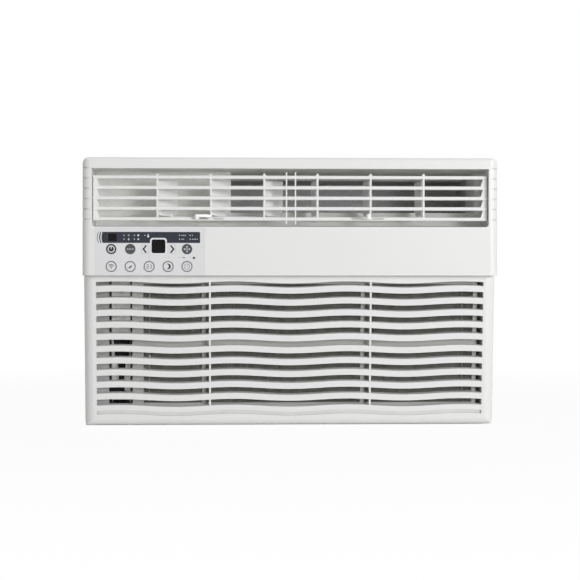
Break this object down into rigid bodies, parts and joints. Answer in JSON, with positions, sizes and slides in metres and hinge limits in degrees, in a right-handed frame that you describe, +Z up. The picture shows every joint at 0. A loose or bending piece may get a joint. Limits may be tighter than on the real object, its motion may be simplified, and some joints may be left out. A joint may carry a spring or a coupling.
{
  "type": "window air conditioner",
  "caption": "Boxy window air conditioner: tilting louvre outlet over a leaning wavy intake grille, key panel, and the refrigerating chassis in a steel case.",
  "frame": {"origin": "centre of the footprint, on the sill", "axes": "+Z up, the room-side face looks along -Y, +X to the right seen from the room"},
  "size_m": [0.5, 0.48, 0.325],
  "materials": {
    "white_plastic": "fine satin moulding",
    "overlay": "satin printed film",
    "dark_window": "polished, smoked",
    "slate_key": "satin",
    "ring_key": "satin",
    "board": "laminate with solder mask",
    "filter_plastic": "moulded grey",
    "mesh": "fine net",
    "foam": "expanded foam",
    "black_foam": "open-cell foam",
    "fins": "thin fins",
    "copper": "drawn copper tube",
    "galvanised": "zinc-coated sheet",
    "case_paint": "powder coat",
    "black_paint": "enamel",
    "fan_plastic": "moulded",
    "rubber": "matt",
    "steel": "turned",
    "zinc": "plated"
  },
  "bodies": {
    "chassis": {"accumulator": "black_paint", "base_pan": "galvanised", "bezel_screws": "zinc", "bulkhead": "galvanised", "capillary_tube": "copper", "case_screws": "zinc", "compressor": "black_paint", "compressor_grommets": "rubber", "compressor_nuts": "zinc", "condenser_coil": "fins", "condenser_tubes": "copper", "control_board": "board", "control_box": "galvanised", "control_overlay": "overlay", "cord_grommet": "rubber", "discharge_line": "copper", "display_window": "dark_window", "drain_nipple": "fan_plastic", "drain_tray": "foam", "evaporator_coil": "fins", "evaporator_tubes": "copper", "fan_motor": "galvanised", "fan_shroud": "fan_plastic", "foam_seal": "black_foam", "front_bezel": "white_plastic", "inlet_ring": "fan_plastic", "motor_bracket": "galvanised", "outer_case": "case_paint", "outlet_duct": "foam", "rear_grille": "case_paint", "receiver_window": "dark_window", "run_capacitor": "steel", "scroll_housing": "foam", "suction_line": "copper", "temperature_probe": "fan_plastic"},
    "rotor": {"blower_wheel": "fan_plastic", "motor_shaft": "steel", "condenser_fan": "fan_plastic"},
    "louver": {"louver_frame": "white_plastic"},
    "left_lever_vane": {"left_vane_lever": "white_plastic"},
    "left_outer_vane": {"left_vane_outer": "white_plastic"},
    "left_inner_vane": {"left_vane_inner": "white_plastic"},
    "left_tie_bar": {"left_vane_link": "white_plastic"},
    "right_lever_vane": {"right_vane_lever": "white_plastic"},
    "right_outer_vane": {"right_vane_outer": "white_plastic"},
    "right_inner_vane": {"right_vane_inner": "white_plastic"},
    "right_tie_bar": {"right_vane_link": "white_plastic"},
    "grille": {"intake_grille": "white_plastic", "filter_frame": "filter_plastic", "filter_mesh": "mesh"},
    "power_key": {"power_key": "slate_key"},
    "mode_key": {"mode_key": "slate_key"},
    "cooler_key": {"cooler_key": "overlay"},
    "warmer_key": {"warmer_key": "overlay"},
    "fan_key": {"fan_key": "slate_key"},
    "wireless_key": {"wireless_key": "ring_key"},
    "auto_key": {"auto_key": "ring_key"},
    "filter_key": {"filter_key": "ring_key"},
    "sleep_key": {"sleep_key": "ring_key"},
    "timer_key": {"timer_key": "ring_key"}
  },
  "joints": [
    {"name": "fan_spin", "type": "hinge", "parent": "chassis", "child": "rotor", "pos_m": [0.04, 0, 0.128], "axis": [0, 1, 0], "continuous": true},
    {"name": "louver_tilt", "type": "hinge", "parent": "chassis", "child": "louver", "pos_m": [0, -0.227, 0.2767], "axis": [1, 0, 0], "range_deg": [-12, 12]},
    {"name": "grille_tilt", "type": "hinge", "parent": "chassis", "child": "grille", "pos_m": [0, -0.19792, 0.011], "axis": [1, 0, 0], "range_deg": [0, 45]},
    {"name": "left_outer_turn", "type": "hinge", "parent": "louver", "child": "left_outer_vane", "pos_m": [-0.1603, -0.219, 0.2767], "axis": [0, 0, 1], "range_deg": [0, 100]},
    {"name": "left_vane_turn", "type": "hinge", "parent": "louver", "child": "left_lever_vane", "pos_m": [-0.09618, -0.219, 0.2767], "axis": [0, 0, 1], "range_deg": [0, 100]},
    {"name": "left_inner_turn", "type": "hinge", "parent": "louver", "child": "left_inner_vane", "pos_m": [-0.03206, -0.219, 0.2767], "axis": [0, 0, 1], "range_deg": [0, 100]},
    {"name": "left_tie_swing", "type": "hinge", "parent": "left_lever_vane", "child": "left_tie_bar", "pos_m": [-0.08086, -0.20614, 0.2543], "axis": [0, 0, 1], "range_deg": [-100, 0]},
    {"name": "right_inner_turn", "type": "hinge", "parent": "louver", "child": "right_inner_vane", "pos_m": [0.03206, -0.219, 0.2767], "axis": [0, 0, 1], "range_deg": [-59, 41]},
    {"name": "right_vane_turn", "type": "hinge", "parent": "louver", "child": "right_lever_vane", "pos_m": [0.09618, -0.219, 0.2767], "axis": [0, 0, 1], "range_deg": [-59, 41]},
    {"name": "right_outer_turn", "type": "hinge", "parent": "louver", "child": "right_outer_vane", "pos_m": [0.1603, -0.219, 0.2767], "axis": [0, 0, 1], "range_deg": [-59, 41]},
    {"name": "right_tie_swing", "type": "hinge", "parent": "right_lever_vane", "child": "right_tie_bar", "pos_m": [0.09305, -0.19925, 0.2543], "axis": [0, 0, 1], "range_deg": [-41, 59]},
    {"name": "power_press", "type": "slide", "parent": "chassis", "child": "power_key", "axis": [0, 1, 0], "range_m": [0, 0.0006], "stiffness_N_per_m": 600},
    {"name": "mode_press", "type": "slide", "parent": "chassis", "child": "mode_key", "axis": [0, 1, 0], "range_m": [0, 0.0006], "stiffness_N_per_m": 600},
    {"name": "cooler_press", "type": "slide", "parent": "chassis", "child": "cooler_key", "axis": [0, 1, 0], "range_m": [0, 0.0006], "stiffness_N_per_m": 600},
    {"name": "warmer_press", "type": "slide", "parent": "chassis", "child": "warmer_key", "axis": [0, 1, 0], "range_m": [0, 0.0006], "stiffness_N_per_m": 600},
    {"name": "fan_press", "type": "slide", "parent": "chassis", "child": "fan_key", "axis": [0, 1, 0], "range_m": [0, 0.0006], "stiffness_N_per_m": 600},
    {"name": "wireless_press", "type": "slide", "parent": "chassis", "child": "wireless_key", "axis": [0, 1, 0], "range_m": [0, 0.0006], "stiffness_N_per_m": 600},
    {"name": "auto_press", "type": "slide", "parent": "chassis", "child": "auto_key", "axis": [0, 1, 0], "range_m": [0, 0.0006], "stiffness_N_per_m": 600},
    {"name": "filter_press", "type": "slide", "parent": "chassis", "child": "filter_key", "axis": [0, 1, 0], "range_m": [0, 0.0006], "stiffness_N_per_m": 600},
    {"name": "sleep_press", "type": "slide", "parent": "chassis", "child": "sleep_key", "axis": [0, 1, 0], "range_m": [0, 0.0006], "stiffness_N_per_m": 600},
    {"name": "timer_press", "type": "slide", "parent": "chassis", "child": "timer_key", "axis": [0, 1, 0], "range_m": [0, 0.0006], "stiffness_N_per_m": 600}
  ],
  "couplings": [
    {"joint": "left_outer_turn", "follows": "left_vane_turn", "ratio": 1},
    {"joint": "left_inner_turn", "follows": "left_vane_turn", "ratio": 1},
    {"joint": "left_tie_swing", "follows": "left_vane_turn", "ratio": -1},
    {"joint": "right_inner_turn", "follows": "right_vane_turn", "ratio": 1},
    {"joint": "right_outer_turn", "follows": "right_vane_turn", "ratio": 1},
    {"joint": "right_tie_swing", "follows": "right_vane_turn", "ratio": -1}
  ]
}
